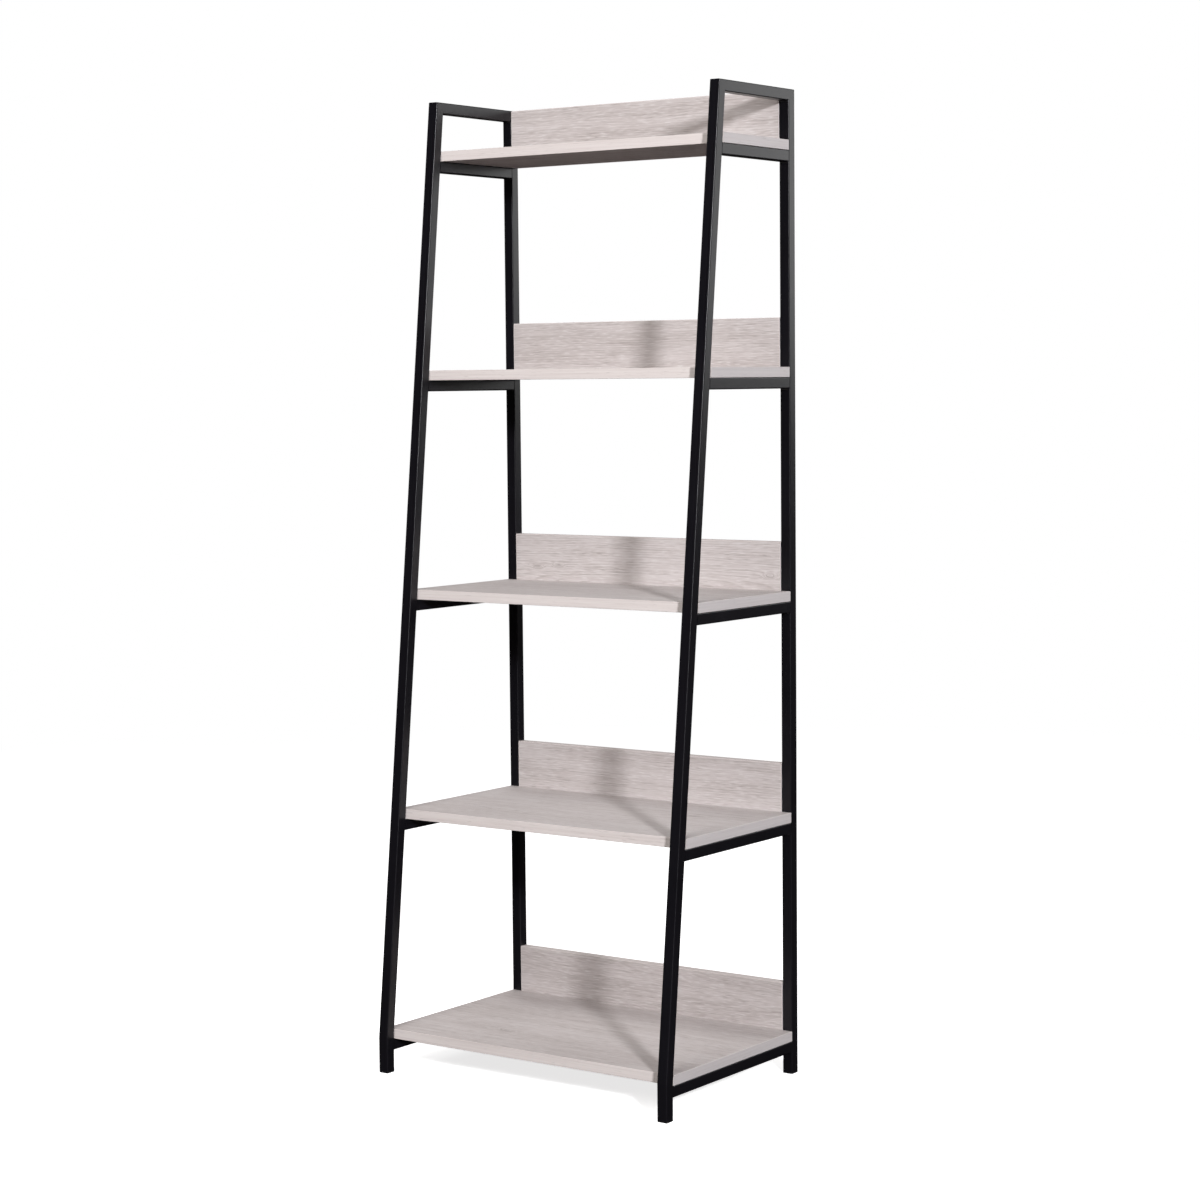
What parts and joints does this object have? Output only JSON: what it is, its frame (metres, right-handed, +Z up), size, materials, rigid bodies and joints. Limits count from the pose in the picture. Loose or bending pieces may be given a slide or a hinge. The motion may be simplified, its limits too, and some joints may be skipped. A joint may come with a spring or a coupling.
{
  "type": "ladder shelf",
  "caption": "Open ladder bookshelf: black square-tube side frames with leaning front legs carry pale wood shelf boards that grow deeper downwards, each with a low back panel.",
  "frame": {"origin": "on the floor, in the middle of the footprint", "axes": "+X to the right across the width as seen from the front, -Y to the front, +Z up"},
  "size_m": [0.63, 0.42, 1.75],
  "materials": {
    "frame_steel": "satin black powder coat",
    "board_laminate": "whitewashed pale wood print, fine straight grain across the width, matt",
    "edge_banding": "edging strip with the same print as the boards, matt",
    "plug_plastic": "moulded black plastic",
    "bolt_steel": "black oxide",
    "insert_brass": "machined",
    "screw_steel": "zinc plated",
    "dowel_beech": "bare beech"
  },
  "bodies": {
    "root": {"left_front_leg": "frame_steel", "left_rear_leg": "frame_steel", "left_top_rail": "frame_steel", "left_shelf_rail_1": "frame_steel", "left_shelf_rail_2": "frame_steel", "left_shelf_rail_3": "frame_steel", "left_shelf_rail_4": "frame_steel", "left_shelf_rail_5": "frame_steel", "right_front_leg": "frame_steel", "right_rear_leg": "frame_steel", "right_top_rail": "frame_steel", "right_shelf_rail_1": "frame_steel", "right_shelf_rail_2": "frame_steel", "right_shelf_rail_3": "frame_steel", "right_shelf_rail_4": "frame_steel", "right_shelf_rail_5": "frame_steel", "left_front_foot_plug": "plug_plastic", "left_rear_foot_plug": "plug_plastic", "right_front_foot_plug": "plug_plastic", "right_rear_foot_plug": "plug_plastic", "shelf_board_1": "board_laminate", "shelf_board_2": "board_laminate", "shelf_board_3": "board_laminate", "shelf_board_4": "board_laminate", "shelf_board_5": "board_laminate", "back_panel_1": "board_laminate", "back_panel_2": "board_laminate", "back_panel_3": "board_laminate", "back_panel_4": "board_laminate", "back_panel_5": "board_laminate", "shelf_edging_1": "edge_banding", "shelf_edging_2": "edge_banding", "shelf_edging_3": "edge_banding", "shelf_edging_4": "edge_banding", "shelf_edging_5": "edge_banding", "back_panel_edging_1": "edge_banding", "back_panel_edging_2": "edge_banding", "back_panel_edging_3": "edge_banding", "back_panel_edging_4": "edge_banding", "back_panel_edging_5": "edge_banding", "shelf_bolts": "bolt_steel", "threaded_inserts": "insert_brass", "panel_screws": "screw_steel", "panel_dowels": "dowel_beech"}
  },
  "joints": []
}
